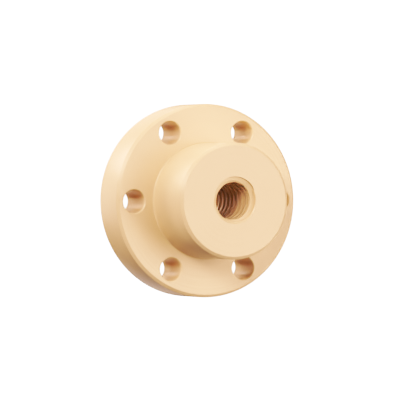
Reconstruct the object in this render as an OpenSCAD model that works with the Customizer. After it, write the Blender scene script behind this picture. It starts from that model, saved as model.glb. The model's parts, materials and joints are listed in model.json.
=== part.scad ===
// Flanged lead screw nut, turned in one piece from engineering plastic.
// It stands on the flange's back face at z = 0. The bore runs along +Z to the hub's free end,
// and two of the bolt holes lie on the X axis.

/* [Bore] */
// Nominal diameter of the lead screw
screw_d = 10; // [8:0.5:12]
// Pitch of the lead screw's trapezoidal thread
thread_pitch = 2; // [1.5:0.5:3]
// Chamfer around both mouths of the bore, which leads the screw in
bore_chamfer = 0.9; // [0.5:0.1:1.5]

/* [Hub] */
// Outer diameter of the hub
hub_d = 25; // [20:0.5:36]
// How far the hub stands proud of the flange
hub_h = 15; // [5:0.5:40]
// Chamfer around the hub's free end
hub_chamfer = 0.6; // [0.2:0.1:1.5]
// Radius of the fillet in the corner between the hub and the flange
root_fillet_r = 0.3; // [0.1:0.1:0.8]

/* [Bolt holes] */
// Number of bolt holes, spaced evenly on one circle
bolt_count = 6; // [3:1:8]
// Diameter of each bolt hole
bolt_hole_d = 5; // [3:0.1:7]
// Chamfer around both mouths of each bolt hole
bolt_hole_chamfer = 0.2; // [0.1:0.1:0.8]
// Land between the hub and each bolt hole, for the screw's washer
hub_land = 2; // [1.2:0.1:8]

/* [Flange] */
// Thickness of the flange
flange_t = 10; // [4:0.5:20]
// Wall between each bolt hole and the flange's rim
rim_wall = 1.5; // [1.5:0.1:8]
// Chamfer around the flange's front edge
flange_front_chamfer = 0.6; // [0.2:0.1:0.7]
// Chamfer around the flange's back edge
flange_back_chamfer = 0.4; // [0.2:0.1:0.7]

/* [Hidden] */

plastic_colour = "#E5D1AD";
cut_margin = 1; // how far each cutting solid runs past the faces that it opens
$fn = 96;

// The bore's wall is where the nut's crests stand, half a pitch inside the nominal diameter
crest_r = (screw_d - thread_pitch) / 2;
hub_r = hub_d / 2;
bolt_hole_r = bolt_hole_d / 2;
bolt_circle_r = hub_r + hub_land + bolt_hole_r;
flange_r = bolt_circle_r + bolt_hole_r + rim_wall;
total_h = flange_t + hub_h;

// Half section of the fillet between the hub and the flange
module root_fillet() {
    translate([hub_r, flange_t])
        difference() {
            square(root_fillet_r);
            translate([root_fillet_r, root_fillet_r])
                circle(root_fillet_r);
        }
}

// Half section of the nut before it is drilled, with its edges chamfered
module turned_section() {
    polygon([
        [0, 0],
        [flange_r - flange_back_chamfer, 0],
        [flange_r, flange_back_chamfer],
        [flange_r, flange_t - flange_front_chamfer],
        [flange_r - flange_front_chamfer, flange_t],
        [hub_r, flange_t],
        [hub_r, total_h - hub_chamfer],
        [hub_r - hub_chamfer, total_h],
        [0, total_h]
    ]);
    root_fillet();
}

// Cutter for a 45 degree chamfer around a hole of radius r that opens upwards at z = 0
module mouth(r, chamfer) {
    depth = chamfer + cut_margin;
    translate([0, 0, -chamfer])
        cylinder(h = depth, r1 = r, r2 = r + depth);
}

// Cutter for a hole of radius r through a height h, with both of its mouths chamfered
module through_hole(r, h, chamfer) {
    translate([0, 0, -cut_margin])
        cylinder(h = h + 2 * cut_margin, r = r);
    translate([0, 0, h])
        mouth(r, chamfer);
    mirror([0, 0, 1])
        mouth(r, chamfer);
}

module bolt_holes() {
    for (i = [0 : bolt_count - 1])
        rotate(360 * i / bolt_count)
            translate([bolt_circle_r, 0, 0])
                through_hole(bolt_hole_r, flange_t, bolt_hole_chamfer);
}

module flanged_nut() {
    color(plastic_colour)
        difference() {
            rotate_extrude()
                turned_section();
            through_hole(crest_r, total_h, bore_chamfer);
            bolt_holes();
        }
}

flanged_nut();
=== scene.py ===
import json
from math import ceil, pi, radians, sin, tan

import bmesh
import bpy
import numpy as np
from mathutils import Euler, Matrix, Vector
from mathutils.geometry import delaunay_2d_cdt


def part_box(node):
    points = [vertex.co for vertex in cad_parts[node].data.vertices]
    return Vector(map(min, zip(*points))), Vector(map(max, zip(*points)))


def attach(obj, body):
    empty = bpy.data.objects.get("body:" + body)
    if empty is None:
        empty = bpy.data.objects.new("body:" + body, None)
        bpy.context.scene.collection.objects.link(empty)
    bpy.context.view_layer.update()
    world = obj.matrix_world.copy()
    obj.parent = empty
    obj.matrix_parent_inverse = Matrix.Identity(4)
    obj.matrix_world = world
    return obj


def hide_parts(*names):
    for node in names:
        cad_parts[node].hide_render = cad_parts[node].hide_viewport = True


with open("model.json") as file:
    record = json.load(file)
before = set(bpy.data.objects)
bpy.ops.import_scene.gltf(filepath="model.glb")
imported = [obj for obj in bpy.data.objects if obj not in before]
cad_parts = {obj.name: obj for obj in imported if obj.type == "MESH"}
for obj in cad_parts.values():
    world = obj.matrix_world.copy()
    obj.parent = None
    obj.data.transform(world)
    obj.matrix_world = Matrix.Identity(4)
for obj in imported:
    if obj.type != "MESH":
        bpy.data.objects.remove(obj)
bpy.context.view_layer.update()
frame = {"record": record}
mounts = {mount["name"]: mount for mount in frame["record"]["mounts"]}
mm = 0.001
_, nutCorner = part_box("flanged_nut")
print("frame loaded: the nut is", round(nutCorner[0] / mm * 2, 2), "mm across and",
      round(nutCorner[2] / mm, 2), "mm high")


# the nut: its main sizes come from the frame, its edges and its thread are set here

nut = dict(
    flangeRadius=nutCorner[0],
    height=nutCorner[2],
    seat=mounts["front_seat"]["pos_m"][2],           # height of the flange's front face
    hubRadius=mounts["hub"]["dims"]["r_mm"] * mm,
    crestRadius=mounts["thread"]["dims"]["r_mm"] * mm,
    holeCount=mounts["bolts"]["dims"]["count"],
    holeCircle=mounts["bolts"]["dims"]["pcd_mm"] / 2 * mm,
    holeRadius=mounts["bolts"]["dims"]["hole_r_mm"] * mm,
    frontChamfer=0.6 * mm,
    backChamfer=0.4 * mm,
    hubChamfer=0.6 * mm,
    holeChamfer=0.2 * mm,
    mouthChamfer=0.9 * mm,
    rootFillet=0.3 * mm,
    edgeRadius=0.08 * mm,      # edges are broken, never knife sharp
    faceMargin=0.08 * mm,      # narrow strip beside each edge, so that the flat faces shade flat
    columns=144,               # steps around the axis, the same in every surface so that they join
    holeColumns=72,
    arcSteps=4,                # steps in each rounded edge
    filletSteps=6,
    sharpDeg=30,               # edges that turn by more than this are shaded sharp
    mergeGap=0.0001 * mm,      # points nearer than this are one point
)
thread = dict(
    pitch=2.0 * mm,
    depth=1.25 * mm,
    crestWidth=0.8 * mm,
    flankDeg=15,
    cornerRadius=0.08 * mm,
    cornerSteps=3,
    phaseDeg=-4,               # where the groove passes half the nut's height, counted from +X
    step=0.25 * mm,            # longest stretch between two points of the profile
)


def roundedLine(corners, radius, steps):
    # a line through the corners, in which each inner corner becomes an arc that touches both its sides
    points = [np.array(corners[0])]
    for before, corner, after in zip(corners, corners[1:], corners[2:]):
        corner = np.array(corner)
        sides = [(side - corner) / np.linalg.norm(side - corner) for side in (before, after)]
        half = np.arccos(sides[0] @ sides[1]) / 2
        middle = corner + (sides[0] + sides[1]) / np.linalg.norm(sides[0] + sides[1]) * radius / sin(half)
        start, end = (corner + side * radius / tan(half) - middle for side in sides)
        angles = np.arctan2([start[1], end[1]], [start[0], end[0]])
        turn = (angles[1] - angles[0] + pi) % (2 * pi) - pi
        angles = angles[0] + turn * np.linspace(0, 1, steps + 1)
        points += list(middle + radius * np.stack([np.cos(angles), np.sin(angles)], 1))
    return np.array(points + [np.array(corners[-1])])


def dividedLine(line, step):
    # the same line with points added, so that no stretch is longer than step
    pieces = []
    for start, end in zip(line, line[1:]):
        count = ceil(np.linalg.norm(end - start) / step)
        pieces.append(start + (end - start) * np.linspace(0, 1, count + 1)[:-1, None])
    return np.concatenate(pieces + [line[-1:]])


def fullCircle(count):
    return np.arange(count) / count * 2 * pi


def turnedSurface(radius, height, angles, centre=0.0, lift=0):
    # rows of radius and height carried around an upright axis: (x, y) = (centre + r cos a, r sin a).
    # where the last column meets the first, the first column's rows stand lift rows higher
    radius, height, angles = np.broadcast_arrays(radius, height, angles)
    rows, columns = radius.shape
    points = np.stack([centre + radius * np.cos(angles), radius * np.sin(angles), height], -1).reshape(-1, 3)
    row, column = np.meshgrid(np.arange(rows - 1 - lift), np.arange(columns), indexing="ij")
    after = (column + 1) % columns
    raised = row + np.where(after == 0, lift, 0)
    corners = [row * columns + column, raised * columns + after,
               (raised + 1) * columns + after, (row + 1) * columns + column]
    return points, np.stack(corners, -1).reshape(-1, 4)


def turnedLine(corners, radius, steps, angles, centre=0.0):
    # a line of (radius, height) corners, rounded and turned
    line = roundedLine(corners, radius, steps)
    return turnedSurface(line[:, :1], line[:, 1:], angles, centre)


def spunCopies(surface, count):
    # copies of a surface, turned in equal steps about the nut's axis
    points, faces = surface
    turns = fullCircle(count)
    matrices = np.stack([np.cos(turns), -np.sin(turns), np.sin(turns), np.cos(turns)], -1).reshape(-1, 2, 2)
    return [(np.concatenate([points[:, :2] @ matrix.T, points[:, 2:]], 1), faces) for matrix in matrices]


def flatFace(outer, inner, hole, height):
    # the flat ring from radius inner to radius outer, less a disc of radius hole around each bolt hole:
    # triangles between the points of those circles, where the middle of a triangle isn't in a disc
    across, around = fullCircle(nut["columns"]), fullCircle(nut["holeColumns"])
    turns = fullCircle(nut["holeCount"])
    discs = [(0, 0, inner)]
    if hole:
        centres = nut["holeCircle"] * np.stack([np.cos(turns), np.sin(turns)], 1)
        discs += [(x, y, hole) for x, y in centres]
    circles = [(0, 0, outer, across), (*discs[0], across)] + [(*disc, around) for disc in discs[1:]]
    rings = [np.stack([x + r * np.cos(a), y + r * np.sin(a)], 1) for x, y, r, a in circles]
    ends = np.cumsum([0] + [len(ring) for ring in rings])
    sides = np.concatenate([np.stack([np.arange(a, b), np.roll(np.arange(a, b), -1)], 1)
                            for a, b in zip(ends, ends[1:])])
    flat = [Vector(point) for point in np.concatenate(rings) / mm]
    insideOnly, tolerance = 1, 0.00001
    corners, _, triangles, *_ = delaunay_2d_cdt(flat, sides.tolist(), [], insideOnly, tolerance, False)
    corners, triangles = np.array(corners) * mm, np.array(triangles)
    middles = corners[triangles].mean(1)
    discs = np.array(discs)
    inDisc = np.linalg.norm(middles[:, None] - discs[:, :2], axis=2) < discs[:, 2]
    points = np.concatenate([corners, np.full((len(corners), 1), height)], 1)
    return points, triangles[~inDisc.any(1)]


# the thread's profile over one pitch, from the middle of a crest to the middle of the next: (height, radius)
crestEnd = thread["crestWidth"] / 2
grooveEnd = crestEnd + thread["depth"] * tan(radians(thread["flankDeg"]))
grooveRadius = nut["crestRadius"] + thread["depth"]
threadLine = [(0, nut["crestRadius"]), (crestEnd, nut["crestRadius"]), (grooveEnd, grooveRadius)]
threadLine += [(thread["pitch"] - height, radius) for height, radius in threadLine[::-1]]
threadLine = roundedLine(threadLine, thread["cornerRadius"], thread["cornerSteps"])
threadLine = dividedLine(threadLine, thread["step"])
threadStart = nut["height"] / 2 - thread["pitch"] * (thread["phaseDeg"] / 360 + 0.5)

# the bore's chamfered mouth: (depth below the face, radius)
mouthRadius = nut["crestRadius"] + nut["mouthChamfer"]
mouthLine = [(0, mouthRadius + nut["edgeRadius"]), (0, mouthRadius),
             (nut["mouthChamfer"], nut["crestRadius"])]
mouthLine = roundedLine(mouthLine, nut["edgeRadius"], nut["arcSteps"])[1:]


def depthBelowFace(height):
    return np.minimum(height, nut["height"] - height)


def boreRadius(height, angles):
    # a right-hand helix: at angle a the profile stands pitch * a / 2 pi higher than at angle 0,
    # and the bore is as wide as the wider of the thread and the mouth
    along = (height - threadStart - thread["pitch"] * angles / (2 * pi)) % thread["pitch"]
    return np.maximum(np.interp(along, *threadLine.T), np.interp(depthBelowFace(height), *mouthLine.T))


def threadSurface(angles):
    # the profile repeated up the bore in rows that climb the helix, cut off at the nut's two faces
    perTurn = len(threadLine) - 1
    turns = ceil(nut["height"] / thread["pitch"]) + 3
    start = threadStart % thread["pitch"] - 2 * thread["pitch"]
    rows = (start + thread["pitch"] * np.arange(turns)[:, None] + threadLine[:-1, 0]).reshape(-1, 1)
    height = rows + thread["pitch"] * angles / (2 * pi)
    # where thread and mouth cross between two rows, the nearer row slides onto the crossing
    over = np.tile(threadLine[:-1, 1], turns)[:, None] - np.interp(depthBelowFace(height), *mouthLine.T)
    crosses = over[:-1] * over[1:] < 0
    share = np.where(crosses, over[:-1] / np.where(crosses, over[:-1] - over[1:], 1), 0)
    crossing = height[:-1] + share * np.diff(height, axis=0)
    height[:-1] = np.where(crosses & (share < 0.5), crossing, height[:-1])
    height[1:] = np.where(crosses & (share >= 0.5), crossing, height[1:])
    height = np.clip(height, 0, nut["height"])
    points, faces = turnedSurface(boreRadius(height, angles), height, angles, lift=perTurn)
    return points, faces[np.ptp(points[faces, 2], axis=1) > 0]


def nutSurfaces():
    rim, top, seat, hub = (nut[key] for key in ("flangeRadius", "height", "seat", "hubRadius"))
    edge, margin, steps = nut["edgeRadius"], nut["faceMargin"], nut["arcSteps"]
    front, back, corner = nut["frontChamfer"], nut["backChamfer"], nut["hubChamfer"]
    angles = fullCircle(nut["columns"])

    rimLine = [(rim - back - edge - margin, 0), (rim - back, 0), (rim, back),
               (rim, seat - front), (rim - front, seat), (rim - front - edge - margin, seat)]
    rootTop = seat + nut["rootFillet"] + margin
    rootLine = [(hub + nut["rootFillet"] + margin, seat), (hub, seat), (hub, rootTop)]
    hubLine = [(hub, rootTop), (hub, top - corner), (hub - corner, top), (hub - corner - edge - margin, top)]
    surfaces = [turnedLine(rimLine, edge, steps, angles)]
    surfaces.append(turnedLine(rootLine, nut["rootFillet"], nut["filletSteps"], angles))
    surfaces.append(turnedLine(hubLine, edge, steps, angles))

    surfaces.append(threadSurface(angles))
    boreRing = grooveRadius + 2 * margin
    for height in (0, top):
        # from the bore's uneven edge, where the groove runs out, to a true circle in the face
        mouth = boreRadius(height, angles)
        radius = np.stack([mouth, mouth + margin, np.full_like(mouth, boreRing)])
        surfaces.append(turnedSurface(radius, height, angles))

    hole, wide = nut["holeRadius"], nut["holeRadius"] + nut["holeChamfer"]
    holeRing = wide + edge + margin
    holeLine = [(holeRing, 0), (wide, 0), (hole, nut["holeChamfer"]),
                (hole, seat - nut["holeChamfer"]), (wide, seat), (holeRing, seat)]
    holeSurface = turnedLine(holeLine, edge, steps, fullCircle(nut["holeColumns"]), nut["holeCircle"])
    surfaces += spunCopies(holeSurface, nut["holeCount"])

    surfaces.append(flatFace(rimLine[0][0], boreRing, holeRing, 0))
    surfaces.append(flatFace(rimLine[-1][0], rootLine[0][0], holeRing, seat))
    surfaces.append(flatFace(hubLine[-1][0], boreRing, 0, top))
    return surfaces


def joinedMesh(name, surfaces):
    # the surfaces as one closed mesh: they meet in the same points, which are merged
    points = np.concatenate([points for points, faces in surfaces])
    starts = np.cumsum([0] + [len(points) for points, faces in surfaces])
    faces = [face for (_, faces), start in zip(surfaces, starts) for face in (faces + start).tolist()]
    mesh = bpy.data.meshes.new(name)
    mesh.from_pydata(points, [], faces)
    shell = bmesh.new()
    shell.from_mesh(mesh)
    bmesh.ops.remove_doubles(shell, verts=shell.verts, dist=nut["mergeGap"])
    bmesh.ops.recalc_face_normals(shell, faces=shell.faces)
    shell.to_mesh(mesh)
    shell.free()
    mesh.shade_smooth()
    mesh.set_sharp_from_angle(angle=radians(nut["sharpDeg"]))
    return mesh


threadedNut = bpy.data.objects.new("threaded_nut", joinedMesh("threaded_nut", nutSurfaces()))
bpy.context.scene.collection.objects.link(threadedNut)
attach(threadedNut, "root")
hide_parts("flanged_nut")
print("nut made:", len(threadedNut.data.polygons), "faces")


# materials

def toLinear(hexColour):
    # sRGB hex to the linear colour that a shader takes
    value = np.array([int(hexColour[i:i + 2], 16) for i in (1, 3, 5)]) / 255
    return (*np.where(value <= 0.04045, value / 12.92, ((value + 0.055) / 1.055) ** 2.4), 1.0)


def addNode(tree, kind, inputs=None, **settings):
    node = tree.nodes.new("ShaderNode" + kind)
    for name, value in settings.items():
        setattr(node, name, value)
    for name, value in (inputs or {}).items():
        if isinstance(value, bpy.types.NodeSocket):
            tree.links.new(value, node.inputs[name])
        else:
            node.inputs[name].default_value = value
    return node


plastic = dict(
    colours=("#E2CEAA", "#E8D4B0"),   # the resin's faint clouds: a deeper and a paler cream
    cloudSize=8 * mm,
    roughness=(0.31, 0.35),           # a little shinier on the crests of the tool marks
    ior=1.48,
    feed=0.8 * mm,                    # the real feed of about 0.1 mm is too fine to show: drawn coarser
    markDepth=0.02 * mm,
    detail=1.0,                       # how much finer noise goes into the clouds and the marks
)


def turnedAcetal():
    # turned acetal plastic, satin: a warm cream with a broad soft shine,
    # and over it faint uneven rings that the turning tool left on the faces and around the rims
    material = bpy.data.materials.new("turnedAcetal")
    material.use_nodes = True
    tree = material.node_tree
    shader = tree.nodes["Principled BSDF"]
    shader.inputs["IOR"].default_value = plastic["ior"]
    place = addNode(tree, "TexCoord").outputs["Object"]

    cloudScale, markScale = 1 / plastic["cloudSize"], 1 / plastic["feed"]
    clouds = addNode(tree, "TexNoise", {"Vector": place, "Scale": cloudScale, "Detail": plastic["detail"]})
    # the Mix node's colours are its inputs 6 and 7 and its output 2
    deeper, paler = [toLinear(colour) for colour in plastic["colours"]]
    cream = addNode(tree, "Mix", {0: clouds.outputs["Fac"], 6: deeper, 7: paler}, data_type="RGBA")
    tree.links.new(cream.outputs[2], shader.inputs["Base Color"])

    # radius plus height grows across the faces as well as along the rims, so rings follow from it on both
    across = addNode(tree, "VectorMath", {0: place, 1: (1, 1, 0)}, operation="MULTIPLY")
    radius = addNode(tree, "VectorMath", {0: across.outputs["Vector"]}, operation="LENGTH")
    height = addNode(tree, "SeparateXYZ", {0: place})
    travel = addNode(tree, "Math", {0: radius.outputs["Value"], 1: height.outputs["Z"]}, operation="ADD")
    marks = addNode(tree, "TexNoise", noise_dimensions="1D",
                    inputs={"W": travel.outputs["Value"], "Scale": markScale, "Detail": plastic["detail"]})
    shiny, dull = plastic["roughness"]
    shine = addNode(tree, "MapRange", {"Value": marks.outputs["Fac"], "To Min": dull, "To Max": shiny})
    tree.links.new(shine.outputs["Result"], shader.inputs["Roughness"])
    relief = addNode(tree, "Bump", {"Height": marks.outputs["Fac"], "Distance": plastic["markDepth"]})
    tree.links.new(relief.outputs["Normal"], shader.inputs["Normal"])
    return material


threadedNut.data.materials.append(turnedAcetal())
print("material made")


# floor, light and camera

studio = dict(
    floorSize=3.0,
    floorDrop=0.05 * mm,              # a hair below the nut, so that the two flat faces don't flicker
    floorColour="#FFFFFF",
    floorGlow=9.0,                    # a lit glass table: to the camera it is plain white
    lightColour="#FFD8C3",
    softboxSize=0.55,
    softboxDistance=1.5,
    softboxes=dict(                   # degrees from straight above the hub, degrees around from +X, watts
        front=(15, 60, 30),
        frontFill=(25, 0, 25),
        upperLeft=(45, 145, 55),
        upperRight=(60, 35, 20),
        left=(75, 150, 65),
        right=(75, 330, 75),
        top=(100, 90, 80),
        low=(120, 255, 10),
        back=(130, 145, 45),
        backFill=(145, 135, 25),
        holeGlowRight=(160, 60, 6),   # these three shine through the holes from behind
        holeGlowLeft=(160, 180, 6),
        holeGlowLow=(160, 300, 6),
    ),
    # one point for each stop of light: (light, how bright the film shows it)
    film=[(0, 0), (0.06, 0.11), (0.125, 0.29), (0.25, 0.54), (0.5, 0.81), (1, 1)],
    filmWhite=8.0,                    # the brightness that the film shows as white
    lightBounces=16,                  # light goes on between the thread's flanks for long
    target=Vector((2.33, 0.07, 1.02)) * mm,
    turn=(-0.35, -23.61, -0.445),     # the camera's own angles in degrees
    distance=0.8895,
    lens=365.7,
    farClip=20,
)


def addCamera():
    camera = bpy.data.cameras.new("camera")
    camera.lens = studio["lens"]
    camera.clip_end = studio["farClip"]
    placed = bpy.data.objects.new("camera", camera)
    placed.rotation_euler = Euler([radians(angle) for angle in studio["turn"]])
    back = placed.rotation_euler.to_matrix() @ Vector((0, 0, studio["distance"]))
    placed.location = studio["target"] + back
    bpy.context.scene.collection.objects.link(placed)
    bpy.context.scene.camera = placed


def addFloor():
    # only the camera sees the table, so the softboxes below it light the nut through it
    size = studio["floorSize"] / 2
    mesh = bpy.data.meshes.new("floor")
    drop = -studio["floorDrop"]
    corners = [(-size, -size, drop), (size, -size, drop), (size, size, drop), (-size, size, drop)]
    mesh.from_pydata(corners, [], [(0, 1, 2, 3)])
    material = bpy.data.materials.new("litGlass")
    material.use_nodes = True
    tree = material.node_tree
    tree.nodes.clear()
    colour, strength = toLinear(studio["floorColour"]), studio["floorGlow"]
    glow = addNode(tree, "Emission", {"Color": colour, "Strength": strength})
    addNode(tree, "OutputMaterial", {"Surface": glow.outputs["Emission"]})
    mesh.materials.append(material)
    floor = bpy.data.objects.new("floor", mesh)
    floor.visible_diffuse = floor.visible_glossy = False
    floor.visible_shadow = floor.visible_transmission = False
    bpy.context.scene.collection.objects.link(floor)


def addSoftbox(name, fromTop, around, power):
    # a round area light that faces the nut
    light = bpy.data.lights.new(name, "AREA")
    light.shape = "DISK"
    light.size = studio["softboxSize"]
    light.energy = power
    light.color = toLinear(studio["lightColour"])[:3]
    softbox = bpy.data.objects.new(name, light)
    softbox.rotation_euler = Euler((0, radians(fromTop), radians(around)))
    softbox.location = softbox.rotation_euler.to_matrix() @ Vector((0, 0, studio["softboxDistance"]))
    softbox.visible_camera = False
    bpy.context.scene.collection.objects.link(softbox)


def addRoom():
    # a plain white backdrop that gives no light of its own
    room = bpy.data.worlds.new("room")
    room.use_nodes = True
    backdrop = room.node_tree.nodes["Background"]
    backdrop.inputs["Color"].default_value = toLinear(studio["floorColour"])
    backdrop.inputs["Strength"].default_value = studio["floorGlow"]
    for ray in ("diffuse", "glossy", "transmission", "scatter"):
        setattr(room.cycles_visibility, ray, False)
    bpy.context.scene.world = room


def setFilm():
    # the film's answer to light, set on the combined curve, the fourth:
    # shadows stay deep and the brightest parts roll off softly
    view = bpy.context.scene.view_settings
    view.view_transform = "Standard"
    view.use_curve_mapping = True
    view.curve_mapping.white_level = [studio["filmWhite"]] * 3
    curve = view.curve_mapping.curves[3]
    first, *others, last = studio["film"]
    curve.points[0].location, curve.points[1].location = first, last
    for point in others:
        curve.points.new(*point)
    view.curve_mapping.update()


addCamera()
addFloor()
for name, placeAndPower in studio["softboxes"].items():
    addSoftbox(name, *placeAndPower)
addRoom()
setFilm()
bpy.context.scene.cycles.max_bounces = studio["lightBounces"]
bpy.context.scene.cycles.diffuse_bounces = studio["lightBounces"]
print("floor, light and camera set")
